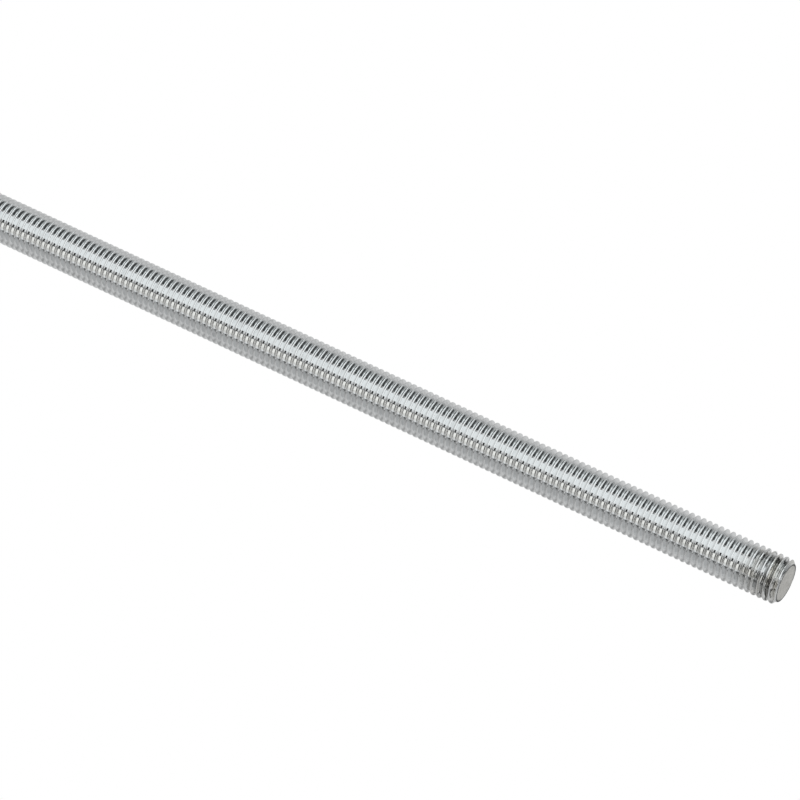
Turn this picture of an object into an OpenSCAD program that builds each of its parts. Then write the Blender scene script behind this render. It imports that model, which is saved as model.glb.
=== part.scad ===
// Fully threaded rod: one turned and rolled piece, with a right-hand screw thread over its whole
// length and a bevel at each end. Millimetres. The rod lies along +X, with its first end face at x = 0.

/* [Thread] */
// Diameter over the thread's crests (3/4 inch rod, as made)
major_diameter = 18.8; // [12:0.1:30]
// Distance from one crest to the next (10 threads to the inch)
pitch = 2.54; // [2:0.01:4]
// Depth of the groove from crest to root
thread_depth = 1.55; // [1:0.05:1.8]

/* [Rod] */
// Overall length of the rod (18 inches)
rod_length = 457.2; // [200:0.1:600]
// Diameter of the flat face at each end, inside the bevel
end_face_diameter = 15.6; // [8:0.1:17]
// How steep the end bevel is, measured from the rod's axis
bevel_angle = 45; // [30:1:60]

/* [Hidden] */

major_r = major_diameter / 2;
root_r = major_r - thread_depth;
face_r = min(end_face_diameter / 2, major_r - 0.4);

// The thread's facets are shared out over its turns, so a longer or finer rod stays light.
facet_budget = 11900;
turns = floor(rod_length / pitch);
steps = min(36, floor(facet_budget / (4 * turns)));

// Lines along the thread, half a pitch apart: even ones are crests and odd ones are roots.
lines = 2 * turns - 1;
first_crest = (rod_length - turns * pitch) / 2;
// The thread runs out into the end faces, and its last crests stay this far inside them.
runout = pitch / 50;

// How far along the rod line m is, i steps round the turn
function line_x(i, m) =
    min(max(first_crest + pitch * (i / steps + m / 2), runout), rod_length - runout);

// The bevel's radius at x, from whichever end is nearer
function bevel_r(x) = face_r + min(x, rod_length - x) * tan(bevel_angle);

function line_r(x, m) = min(m % 2 == 0 ? major_r : root_r, bevel_r(x));

function on_rod(x, r, i) = [x, r * cos(360 * i / steps), r * sin(360 * i / steps)];

// A column of points for each step round the rod: first end face, thread lines, last end face
column = lines + 2;
thread_points = [
    for (i = [0 : steps - 1]) each [
        on_rod(0, face_r, i),
        for (m = [0 : lines - 1]) let (x = line_x(i, m)) on_rod(x, line_r(x, m), i),
        on_rod(rod_length, face_r, i)
    ]
];

// Point number: j is 0 at the first end face, 1 to lines on the thread, lines + 1 at the last end face
function at(i, j) = i * column + j;

// Two triangles, listed clockwise as seen from outside
function band(a, b, c, d) = [[a, c, b], [a, d, c]];

// Each column joins the next one line by line.
side_faces = [
    for (i = [0 : steps - 2], j = [0 : lines])
        each band(at(i, j), at(i + 1, j), at(i + 1, j + 1), at(i, j + 1))
];

// After a full turn every line meets the one a whole pitch further on. That makes it a screw thread.
last = steps - 1;
seam_faces = [
    for (j = [1 : lines - 3])
        each band(at(last, j), at(0, j + 2), at(0, j + 3), at(last, j + 1))
];

// Where the thread starts and stops, the left-over lines close to a point on the bevel.
start_faces = [
    [at(0, 0), at(last, 0), at(last, 1)],
    for (j = [0 : 2]) [at(0, j + 1), at(0, j), at(last, 1)]
];
stop_faces = [
    for (j = [lines - 2 : lines]) [at(last, j), at(last, j + 1), at(0, lines)],
    [at(last, lines + 1), at(0, lines + 1), at(0, lines)]
];

end_faces = [
    [for (i = [0 : last]) at(i, 0)],
    [for (i = [0 : last]) at(last - i, lines + 1)]
];

module rod() {
    color("silver")
        polyhedron(
            points = thread_points,
            faces = concat(side_faces, seam_faces, start_faces, stop_faces, end_faces)
        );
}

rod();
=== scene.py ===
import math

import bmesh
import bpy
import numpy as np
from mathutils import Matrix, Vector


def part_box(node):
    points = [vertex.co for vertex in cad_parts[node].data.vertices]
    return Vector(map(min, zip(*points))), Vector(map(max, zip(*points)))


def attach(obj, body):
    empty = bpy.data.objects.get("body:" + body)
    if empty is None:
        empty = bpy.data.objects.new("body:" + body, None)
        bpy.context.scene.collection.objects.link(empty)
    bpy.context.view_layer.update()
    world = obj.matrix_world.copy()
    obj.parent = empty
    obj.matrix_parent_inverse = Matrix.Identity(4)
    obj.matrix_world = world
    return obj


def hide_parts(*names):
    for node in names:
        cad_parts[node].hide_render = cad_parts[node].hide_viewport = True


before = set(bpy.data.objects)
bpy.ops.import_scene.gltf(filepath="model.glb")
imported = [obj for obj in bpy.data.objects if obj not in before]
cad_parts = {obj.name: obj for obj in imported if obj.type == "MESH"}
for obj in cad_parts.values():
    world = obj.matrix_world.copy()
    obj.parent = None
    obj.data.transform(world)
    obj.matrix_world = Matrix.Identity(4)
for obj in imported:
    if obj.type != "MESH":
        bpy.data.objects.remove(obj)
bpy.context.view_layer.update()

# ---- Threaded rod ----
# One length of mild steel bar with the thread rolled into it, cut to length and bevelled at both
# ends, then plated with bright zinc. The last turns by each cut are scuffed from the saw and bench.
first_corner, last_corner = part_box("rod")
ROD_LENGTH = last_corner.x - first_corner.x
HALF_LENGTH = ROD_LENGTH / 2
CREST_RADIUS = 0.0094
PITCH = 0.00254
THREAD_DEPTH = 0.00155
CREST_FLAT = 0.075      # half width of the crest's flat, as a share of the pitch
ROOT_FLAT = 0.105       # half width of the root, as a share of the pitch
CREST_ROUND = 0.025     # how far the crest's edges are rounded, as a share of the pitch
ROOT_ROUND = 0.05       # how far the root is rounded into the flanks, as a share of the pitch
FACE_RADIUS = 0.0078
BEVEL_SLOPE = 1.0       # how fast the bevel's radius grows with the distance from the end face
STEPS = 48              # points round one turn
THREAD_START = 0.515    # how far round the rod the thread starts, in turns
SCUFFED = 0.019         # length of the scuffed stretch by each cut
NICK_DEPTH = 0.00022    # how deep the nicks in the scuffed crests go
MERGE_DISTANCE = 1e-7   # points nearer than this are one point

# places of the grid's rows along one pitch: four over the crest, two down one flank, three in the
# root and two up the other flank
SECTION = np.array([-0.095, -0.06, 0.06, 0.095, 0.14, 0.36, 0.42, 0.5, 0.58, 0.64, 0.87])


def soft_max(a, b, width):
    """The larger of a and b, with the corner between them rounded.

    It is half of a + b + the square root of (a - b)^2 + width^2.
    """
    return 0.5 * (a + b + np.sqrt((a - b) ** 2 + width ** 2))


def groove(u):
    """How deep the thread is at u pitches along it, 0 on the crest and 1 at the root.

    The distance to the nearest crest's middle runs from 0 to 0.5. Past the crest's flat the depth
    rises in a straight flank until the root's flat, and both corners are rounded.
    """
    off = np.abs((u + 0.5) % 1.0 - 0.5)
    flank = 0.5 - CREST_FLAT - ROOT_FLAT
    rise = soft_max((off - CREST_FLAT) / flank, 0.0, CREST_ROUND / flank)
    return -soft_max(-rise, -1.0, ROOT_ROUND / flank)


def ripple(x, angle):
    """A fixed uneven pattern from about -1 to 1.

    It is a sum of sines over x and the angle, whose periods clash.
    """
    a = np.sin(2300 * x + 3 * angle + 1.1 * np.sin(5 * angle))
    b = np.sin(5100 * x - 7 * angle + 1.7 * np.sin(900 * x))
    c = np.sin(11 * angle + 3700 * x + 0.9 * np.sin(4 * angle))
    return (a + b + c) / 2.2


def rod_mesh(name):
    """A screw surface on a grid.

    Column i is an angle round the rod, and row q is a place along the thread's section.
    x = pitch * (i / STEPS + u(q) + whole turns), held between the two end faces. The radius is the
    crest's less the groove's depth, cut off by the bevel, which grows from the end face's radius
    with the distance to the nearer end. Near the ends the crests lose a little to nicks. Column
    STEPS is column 0 one pitch further on, which is what makes the surface a thread.
    """
    per_turn = len(SECTION)
    turns = int(round(ROD_LENGTH / PITCH)) + 2      # with a spare one past each end
    rows = turns * per_turn
    q = np.arange(rows)
    u = SECTION[q % per_turn]
    i = np.arange(STEPS)[:, None]
    x = np.clip(PITCH * (u + q // per_turn - 1.0 + i / STEPS), 0.0, ROD_LENGTH)
    angle = np.broadcast_to(2 * np.pi * (i / STEPS + THREAD_START), x.shape)
    depth = np.broadcast_to(groove(u), x.shape)
    to_end = np.minimum(x, ROD_LENGTH - x)
    scuff = np.clip(1 - to_end / SCUFFED, 0, 1)
    nicks = np.clip(ripple(x, angle) - 0.2, 0, 1) * scuff * (1 - depth) * NICK_DEPTH
    radius = CREST_RADIUS - THREAD_DEPTH * depth - nicks
    radius = np.minimum(radius, FACE_RADIUS + BEVEL_SLOPE * to_end)
    points = np.stack([x, radius * np.cos(angle), radius * np.sin(angle)], -1).reshape(-1, 3)

    # each column joins the next, and the last one joins the first a whole pitch further on
    number = np.arange(STEPS * rows).reshape(STEPS, rows)
    a, b = number[:-1], number[1:]
    quads = np.stack([a[:, :-1], b[:, :-1], b[:, 1:], a[:, 1:]], -1).reshape(-1, 4)
    a, b = number[-1, : rows - per_turn], number[0, per_turn:]
    quads = np.concatenate([quads, np.stack([a[:-1], b[:-1], b[1:], a[1:]], -1)])

    # the end faces are fans round a middle point
    middle = len(points)
    points = np.concatenate([points, [[0, 0, 0], [ROD_LENGTH, 0, 0]]])
    first, last = number[:, 0], number[:, -1]
    caps = np.concatenate([
        np.stack([np.roll(first, -1), first, np.full(STEPS, middle)], -1),
        np.stack([last, np.roll(last, -1), np.full(STEPS, middle + 1)], -1),
    ])
    mesh = bpy.data.meshes.new(name)
    mesh.from_pydata(points.tolist(), [], quads.tolist() + caps.tolist())
    hollow = mesh.attributes.new("depth", "FLOAT", "POINT")
    hollow.data.foreach_set("value", np.append(depth.reshape(-1), [0, 0]))

    # rows past an end were all held at its face, so they merge there
    work = bmesh.new()
    work.from_mesh(mesh)
    bmesh.ops.remove_doubles(work, verts=work.verts, dist=MERGE_DISTANCE)
    bmesh.ops.recalc_face_normals(work, faces=work.faces)
    work.to_mesh(mesh)
    work.free()

    # the end faces stay flat and take the second material
    normals = np.empty(len(mesh.polygons) * 3)
    mesh.polygons.foreach_get("normal", normals)
    flat = np.abs(normals[0::3]) > 0.99
    mesh.polygons.foreach_set("use_smooth", ~flat)
    mesh.polygons.foreach_set("material_index", flat.astype(int))
    mesh.update()
    return mesh


rod = bpy.data.objects.new("threaded_rod", rod_mesh("threaded_rod"))
bpy.context.scene.collection.objects.link(rod)


def node(tree, kind, **settings):
    """Adds one shader node, with its settings by name."""
    made = tree.nodes.new(kind)
    for key, value in settings.items():
        setattr(made, key, value)
    return made


def feed(tree, socket, value):
    """Links value to the socket if it is a socket too, and otherwise writes it there."""
    if isinstance(value, bpy.types.NodeSocket):
        tree.links.new(value, socket)
    else:
        socket.default_value = value


def math_node(tree, operation, a, b=0.0):
    """Adds a Math node on two inputs, each a socket or a number, and gives its output."""
    made = node(tree, "ShaderNodeMath", operation=operation)
    feed(tree, made.inputs[0], a)
    feed(tree, made.inputs[1], b)
    return made.outputs[0]


def times(tree, a, b):
    """The product of a and b, each a socket or a number."""
    return math_node(tree, "MULTIPLY", a, b)


def noise(tree, where, scale, detail=2.0, roughness=0.5):
    """Adds a noise pattern of so many lumps to the metre, and gives its value."""
    made = node(tree, "ShaderNodeTexNoise")
    made.inputs["Scale"].default_value = scale
    made.inputs["Detail"].default_value = detail
    made.inputs["Roughness"].default_value = roughness
    tree.links.new(where, made.inputs["Vector"])
    return made.outputs["Fac"]


def ramp(tree, value, low, high, to_low=0.0, to_high=1.0):
    """Adds a Map Range node, held at both ends, and gives its value."""
    made = node(tree, "ShaderNodeMapRange", clamp=True)
    for socket, number in zip(made.inputs[1:5], (low, high, to_low, to_high)):
        socket.default_value = number
    tree.links.new(value, made.inputs[0])
    return made.outputs[0]


def mix_colour(tree, share, a, b):
    """Adds a colour mix of a and b, each a socket or a colour."""
    made = node(tree, "ShaderNodeMix", data_type="RGBA")
    tree.links.new(share, made.inputs[0])
    feed(tree, made.inputs[6], a)
    feed(tree, made.inputs[7], b)
    return made.outputs[2]


BRIGHT_ZINC = (0.85, 0.865, 0.87, 1)
# painted shade: the plate is painted darker where the thread's groove is deepest
ROOT_SHADE_ZINC = (0.58, 0.59, 0.59, 1)
WORN_ZINC = (0.77, 0.76, 0.72, 1)
# dirt and flecks, and also the painted shade deep in the roots near the cuts
DIRT_AND_SHADE = (0.05, 0.05, 0.047, 1)
FULLY_SCUFFED = 0.004   # within this distance of the cut the scuffing is at its full strength
BEVEL_DIRT_STOPS = (0.0021, 0.0015)     # distances from the cut between which the dirt thins out
LUMP_HEIGHT = 0.000006
PIT_DEPTH = 0.0003

zinc = bpy.data.materials.new("bright zinc plate")
zinc.use_nodes = True
tree = zinc.node_tree
shader = tree.nodes["Principled BSDF"]
shader.inputs["Metallic"].default_value = 1.0
place = node(tree, "ShaderNodeTexCoord").outputs["Object"]
depth = node(tree, "ShaderNodeAttribute", attribute_name="depth").outputs["Fac"]
along = node(tree, "ShaderNodeSeparateXYZ")
tree.links.new(place, along.inputs[0])
from_middle = math_node(tree, "ABSOLUTE", math_node(tree, "SUBTRACT", along.outputs[0], HALF_LENGTH))
scuff = ramp(tree, from_middle, HALF_LENGTH - SCUFFED, HALF_LENGTH - FULLY_SCUFFED)

# marks run round the rod, because the pattern is drawn out across it
round_rod = node(tree, "ShaderNodeMapping")
round_rod.inputs["Scale"].default_value = (1, 0.10, 0.10)
tree.links.new(place, round_rod.inputs[0])
streaks = round_rod.outputs[0]

# the plate carries painted shade in the root, is worn in streaks by the cuts, dirty there between
# the crests with painted shade deep in the roots as well, and faintly flecked all over
plate_with_root_shade = mix_colour(tree, ramp(tree, depth, 0.92, 0.99), BRIGHT_ZINC, ROOT_SHADE_ZINC)
dull = times(tree, ramp(tree, noise(tree, streaks, 900, 3.0), 0.42, 0.62), scuff)
worn = mix_colour(tree, dull, plate_with_root_shade, WORN_ZINC)
off_crest = times(tree, ramp(tree, depth, 0.05, 0.3), scuff)
off_bevel = ramp(tree, from_middle, HALF_LENGTH - BEVEL_DIRT_STOPS[0],
                 HALF_LENGTH - BEVEL_DIRT_STOPS[1], 1.0, 0.2)
# dirt in streaks from the noise, and painted shade deep in the roots from the groove's depth
grime_and_root_shade = math_node(tree, "MAXIMUM", ramp(tree, noise(tree, streaks, 2600, 2.0, 0.6), 0.53, 0.57),
                  times(tree, ramp(tree, depth, 0.6, 0.95), 0.55))
grimy_and_shaded = times(tree, times(tree, grime_and_root_shade, off_crest), off_bevel)
flecks = times(tree, ramp(tree, noise(tree, streaks, 1500), 0.58, 0.66), 0.12)
colour = mix_colour(tree, math_node(tree, "MAXIMUM", grimy_and_shaded, flecks), worn, DIRT_AND_SHADE)
tree.links.new(colour, shader.inputs["Base Color"])

# the rolled metal is smooth, a little rougher in the root and where it is worn, and most on the
# rubbed crests by the cuts
fine_rough = math_node(tree, "ADD", ramp(tree, noise(tree, place, 900), 0.35, 0.65, 0.04, 0.07),
                       ramp(tree, depth, 0.7, 0.98, 0.0, 0.08))
rubbed = math_node(tree, "SUBTRACT", scuff, off_crest)
worn_rough = math_node(tree, "ADD", times(tree, dull, 0.08), times(tree, rubbed, 0.18))
tree.links.new(math_node(tree, "ADD", fine_rough, worn_rough), shader.inputs["Roughness"])

lumps = times(tree, noise(tree, place, 420, 1.0), LUMP_HEIGHT)
pits = times(tree, times(tree, noise(tree, streaks, 1800), scuff), PIT_DEPTH)
bump = node(tree, "ShaderNodeBump")
bump.inputs["Distance"].default_value = 1.0
tree.links.new(math_node(tree, "ADD", lumps, pits), bump.inputs["Height"])
tree.links.new(bump.outputs[0], shader.inputs["Normal"])
rod.data.materials.append(zinc)

SAWN_DARK = (0.59, 0.585, 0.555, 1)
SAWN_LIGHT = (0.75, 0.74, 0.71, 1)
BURR_SHADOW = (0.025, 0.025, 0.025, 1)
BURR_SHADOW_WIDTH = 0.0009     # how far the painted shadow by the burr reaches in from the end face's edge
BURR_SHADOW_FULL = 0.0004      # and how far in it is at its darkest

cut = bpy.data.materials.new("sawn steel face")
cut.use_nodes = True
tree = cut.node_tree
shader = tree.nodes["Principled BSDF"]
shader.inputs["Metallic"].default_value = 1.0
shader.inputs["Roughness"].default_value = 0.45
place = node(tree, "ShaderNodeTexCoord").outputs["Object"]
colour = mix_colour(tree, ramp(tree, noise(tree, place, 500, 3.0), 0.3, 0.7), SAWN_DARK, SAWN_LIGHT)

# a broken dark rim of painted shadow by the burr, by the distance from the rod's axis
across = node(tree, "ShaderNodeVectorMath", operation="MULTIPLY")
across.inputs[1].default_value = (0, 1, 1)
tree.links.new(place, across.inputs[0])
from_axis = node(tree, "ShaderNodeVectorMath", operation="LENGTH")
tree.links.new(across.outputs[0], from_axis.inputs[0])
burr_shadow = ramp(tree, from_axis.outputs["Value"], FACE_RADIUS - BURR_SHADOW_WIDTH, FACE_RADIUS - BURR_SHADOW_FULL)
uneven = ramp(tree, noise(tree, place, 180), 0.35, 0.45)
shadow_rim = times(tree, burr_shadow, uneven)
tree.links.new(mix_colour(tree, shadow_rim, colour, BURR_SHADOW), shader.inputs["Base Color"])
rod.data.materials.append(cut)
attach(rod, "root")
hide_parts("rod")

# ---- Studio ----
# A white table below the rod and a pale wall behind it, with one long soft panel overhead. A thread
# mirrors the room from every side, so long cards stand round the rod too. They are seen only in the
# metal and change in level along it.
REACH = 1.45            # distance from the rod to the overhead panel
CARD_REACH = 0.98 * REACH


def lit_panel(name, low, high, near, far, level, colour):
    """A flat soft light, from near to far along the rod's axis.

    It fills the angles low to high, in degrees round that axis.
    """
    middle, half = math.radians((low + high) / 2), math.radians((high - low) / 2)
    lamp = bpy.data.lights.new(name, "AREA")
    lamp.shape = "RECTANGLE"
    lamp.size, lamp.size_y = far - near, 2 * REACH * math.tan(half)
    # an area light's radiance is its power over its area and pi
    lamp.energy = level * math.pi * lamp.size * lamp.size_y
    lamp.color = colour
    o = bpy.data.objects.new(name, lamp)
    o.location = ((near + far) / 2, -REACH * math.cos(middle), REACH * math.sin(middle))
    o.rotation_euler = (math.pi / 2 - middle, 0, 0)
    bpy.context.scene.collection.objects.link(o)


lit_panel("overhead panel", 53, 93, -2.2, 2.0, 0.33, (0.93, 0.98, 1.0))

FADE_START, FADE_END = -3, 3    # stretch of the rod's axis that holds every stop of a card
CARD_END = 12                   # the cards run on past it to here, at their last stop's level
WHITE = (1.0, 1.0, 1.0)
COOL = (0.95, 0.99, 1.0)
WARM = (1.0, 0.98, 0.94)


def card(name, low, high, stops, tint=WHITE):
    """A card seen only in the metal, from the angle low to high round the rod's axis.

    Each stop is a place along the axis and the card's level there. The level changes evenly from
    stop to stop.
    """
    a, b = math.radians(low), math.radians(high)
    r = CARD_REACH / math.cos((b - a) / 2)
    corners = [(x, -r * math.cos(t), r * math.sin(t))
               for x, t in ((FADE_START, a), (CARD_END, a), (CARD_END, b), (FADE_START, b))]
    mesh = bpy.data.meshes.new(name)
    mesh.from_pydata(corners, [], [[0, 1, 2, 3]])
    o = bpy.data.objects.new(name, mesh)
    bpy.context.scene.collection.objects.link(o)
    paint = bpy.data.materials.new(name)
    paint.use_nodes = True
    tree = paint.node_tree
    tree.nodes.clear()
    along = node(tree, "ShaderNodeSeparateXYZ")
    tree.links.new(node(tree, "ShaderNodeTexCoord").outputs["Object"], along.inputs[0])
    fade = node(tree, "ShaderNodeValToRGB")
    tree.links.new(ramp(tree, along.outputs[0], FADE_START, FADE_END), fade.inputs[0])
    marks = fade.color_ramp.elements
    marks.remove(marks[1])
    for count, (x, level) in enumerate(stops):
        share = (x - FADE_START) / (FADE_END - FADE_START)
        mark = marks[0] if count == 0 else marks.new(share)
        mark.position = share
        mark.color = [level * part for part in tint] + [1]
    shade = node(tree, "ShaderNodeEmission")
    tree.links.new(fade.outputs[0], shade.inputs["Color"])
    tree.links.new(shade.outputs[0], node(tree, "ShaderNodeOutputMaterial").inputs[0])
    mesh.materials.append(paint)
    o.visible_camera = False
    o.visible_diffuse = False
    o.visible_shadow = False


card("wall card", 178, 206,
     [(-1.1, 0.45), (-0.4, 0.55), (0.2, 0.66), (0.45, 0.58), (0.6, 0.52), (0.75, 0.52),
      (0.9, 0.56), (1.05, 0.6), (1.3, 0.5), (1.6, 0.38), (1.8, 0.3)])
card("back card", 162, 178,
     [(-1.5, 0.9), (-0.6, 0.7), (-0.4, 0.52), (-0.1, 0.5), (0.1, 0.45), (0.3, 0.42),
      (0.7, 0.45), (0.95, 0.6), (1.25, 0.62), (1.55, 0.45), (1.8, 0.3)])
card("high card", 144, 162,
     [(-1.6, 1.7), (-0.7, 1.4), (-0.46, 0.65), (-0.36, 0.1), (-0.12, 0.02), (0.0, 0.13),
      (0.1, 0.3), (0.3, 0.47), (0.5, 0.6), (1.2, 0.64), (1.5, 0.4), (1.8, 0.3)], COOL)
card("upper ceiling card", 134, 144,
     [(-1.6, 1.8), (-0.85, 1.4), (-0.55, 0.25), (-0.4, 0.08), (-0.15, 0.05), (0.0, 0.22),
      (0.15, 0.46), (0.5, 0.56), (1.2, 0.85), (1.6, 0.4), (1.8, 0.2)], COOL)
card("ceiling card", 102, 134,
     [(-1.6, 2.0), (-0.8, 1.4), (-0.6, 0.06), (-0.3, 0.05), (-0.15, 0.1), (-0.02, 0.34),
      (0.12, 0.9), (0.3, 1.2), (1.1, 1.3), (1.5, 0.5), (1.9, 0.02)], COOL)
card("ceiling edge card", 92, 102,
     [(-1.2, 1.3), (-0.8, 0.9), (-0.6, 0.15), (-0.3, 0.42), (-0.1, 0.9), (0.3, 1.2), (1.5, 0.7)])
card("camera card", 42, 53,
     [(-1.5, 0.5), (-0.9, 0.25), (-0.7, 0.0), (-0.42, 0.03), (-0.25, 0.8), (0.0, 1.15),
      (0.3, 1.05), (1.0, 0.4), (1.8, 0.2)])
card("sill card", 35, 42,
     [(-1.5, 0.1), (-0.8, 0.05), (-0.7, 0.02), (-0.45, 0.08), (-0.32, 0.28), (-0.15, 0.5),
      (-0.05, 0.68), (0.05, 0.72), (0.2, 0.5), (0.5, 0.2), (1.8, 0.02)])
card("left panel", 14, 35,
     [(-1.5, 0.02), (-0.75, 0.02), (-0.68, 1.0), (-0.5, 1.12), (-0.14, 1.15), (-0.02, 0.85),
      (0.1, 0.5), (0.3, 0.12), (1.8, 0.02)], WARM)
card("lower left panel", 3, 14,
     [(-1.5, 0.3), (-0.75, 0.3), (-0.68, 0.8), (-0.3, 0.88), (-0.1, 0.92), (0.03, 0.8),
      (0.12, 0.6), (0.3, 0.35), (0.6, 0.28), (1.8, 0.1)], WARM)
card("low panel", -5, 3,
     [(-1.5, 0.45), (-0.7, 0.5), (-0.55, 0.7), (-0.3, 0.88), (-0.1, 0.98), (0.05, 0.9),
      (0.2, 0.75), (0.6, 0.6), (1.8, 0.4)])
card("table edge card", -13, -5,
     [(-1.5, 0.3), (-0.7, 0.3), (-0.5, 0.4), (-0.2, 0.45), (0.0, 0.25), (0.15, 0.0),
      (0.6, 0.0), (1.8, 0.2)])
card("table card", -22, -13,
     [(-1.5, 0.3), (-0.7, 0.3), (-0.5, 0.38), (-0.2, 0.46), (0.0, 0.5), (0.2, 0.3),
      (0.6, 0.2), (1.8, 0.3)])

MATT_WHITE = (0.8, 0.8, 0.8, 1)


def plain_surface(name, glossy_level):
    """A matt surface that the camera sees as white and that shiny metal sees at glossy_level."""
    material = bpy.data.materials.new(name)
    material.use_nodes = True
    tree = material.node_tree
    tree.nodes.clear()
    matt = node(tree, "ShaderNodeBsdfDiffuse")
    matt.inputs["Color"].default_value = MATT_WHITE
    seen = node(tree, "ShaderNodeEmission")
    seen.inputs["Strength"].default_value = 1.0
    mirrored = node(tree, "ShaderNodeEmission", name="mirrored")
    mirrored.inputs["Strength"].default_value = glossy_level
    path = node(tree, "ShaderNodeLightPath")
    first = node(tree, "ShaderNodeMixShader")
    tree.links.new(path.outputs["Is Glossy Ray"], first.inputs[0])
    tree.links.new(matt.outputs[0], first.inputs[1])
    tree.links.new(mirrored.outputs[0], first.inputs[2])
    second = node(tree, "ShaderNodeMixShader")
    tree.links.new(path.outputs["Is Camera Ray"], second.inputs[0])
    tree.links.new(first.outputs[0], second.inputs[1])
    tree.links.new(seen.outputs[0], second.inputs[2])
    tree.links.new(second.outputs[0], node(tree, "ShaderNodeOutputMaterial").inputs[0])
    return material


def sheet_of(name, corners, material):
    """One flat four-cornered sheet of the studio."""
    mesh = bpy.data.meshes.new(name)
    mesh.from_pydata(corners, [], [[0, 1, 2, 3]])
    mesh.materials.append(material)
    o = bpy.data.objects.new(name, mesh)
    bpy.context.scene.collection.objects.link(o)


SIDE = 8                # how far the table and the wall reach to either side
NEAR_EDGE = -4.9        # the table's near edge
LIGHT_FROM = 0.5        # behind this the table mirrors a little lighter
WALL_PLACE = 5
WALL_TOP = 3.3
FLOOR_Z = -1.0
BACK_Z = FLOOR_Z + 0.01
SHADE_PLACE = 0.76      # middle of a soft shade that crosses the table past the rod's last end

# in the metal the table is darker in that shade, and again towards its near edge
table = plain_surface("white table", 0.50)
tree = table.node_tree
spot = node(tree, "ShaderNodeSeparateXYZ")
tree.links.new(node(tree, "ShaderNodeTexCoord").outputs["Object"], spot.inputs[0])
from_shade = math_node(tree, "ABSOLUTE", math_node(tree, "SUBTRACT", spot.outputs[0], SHADE_PLACE))
level = math_node(tree, "MINIMUM", ramp(tree, from_shade, 0.03, 0.26, 0.36, 0.60),
                  ramp(tree, spot.outputs[1], -0.62, -0.45, 0.50, 0.7))
tree.links.new(level, tree.nodes["mirrored"].inputs["Strength"])
sheet_of("floor", [(-SIDE, NEAR_EDGE, FLOOR_Z), (SIDE, NEAR_EDGE, FLOOR_Z),
                   (SIDE, WALL_PLACE, FLOOR_Z), (-SIDE, WALL_PLACE, FLOOR_Z)], table)
sheet_of("back table", [(-SIDE, LIGHT_FROM, BACK_Z), (SIDE, LIGHT_FROM, BACK_Z),
                        (SIDE, WALL_PLACE, BACK_Z), (-SIDE, WALL_PLACE, BACK_Z)],
         plain_surface("light table", 0.64))
sheet_of("wall", [(-SIDE, WALL_PLACE, FLOOR_Z), (SIDE, WALL_PLACE, FLOOR_Z),
                  (SIDE, WALL_PLACE, WALL_TOP), (-SIDE, WALL_PLACE, WALL_TOP)],
         plain_surface("pale wall", 0.8))

# the rest of the room is pale grey in the metal and white to the camera
world = bpy.data.worlds.new("studio")
bpy.context.scene.world = world
world.use_nodes = True
tree = world.node_tree
room = tree.nodes["Background"]
room.inputs["Color"].default_value = (0.70, 0.71, 0.71, 1)
room.inputs["Strength"].default_value = 1.0
white = node(tree, "ShaderNodeBackground")
white.inputs["Color"].default_value = (1, 1, 1, 1)
mix = node(tree, "ShaderNodeMixShader")
tree.links.new(node(tree, "ShaderNodeLightPath").outputs["Is Camera Ray"], mix.inputs[0])
tree.links.new(room.outputs[0], mix.inputs[1])
tree.links.new(white.outputs[0], mix.inputs[2])
tree.links.new(mix.outputs[0], tree.nodes["World Output"].inputs[0])

# a long lens, looking down on the rod's last end from the front right
camera = bpy.data.objects.new("camera", bpy.data.cameras.new("camera"))
camera.data.sensor_width = 36
camera.data.lens = 173.25
camera.data.clip_start, camera.data.clip_end = 0.05, 30
camera.location = (0.82614, -0.85920, 1.11363)
camera.rotation_euler = (math.radians(90 - 47.60), 0, math.radians(32.153))
bpy.context.scene.collection.objects.link(camera)
bpy.context.scene.camera = camera
bpy.context.scene.view_settings.view_transform = "Standard"
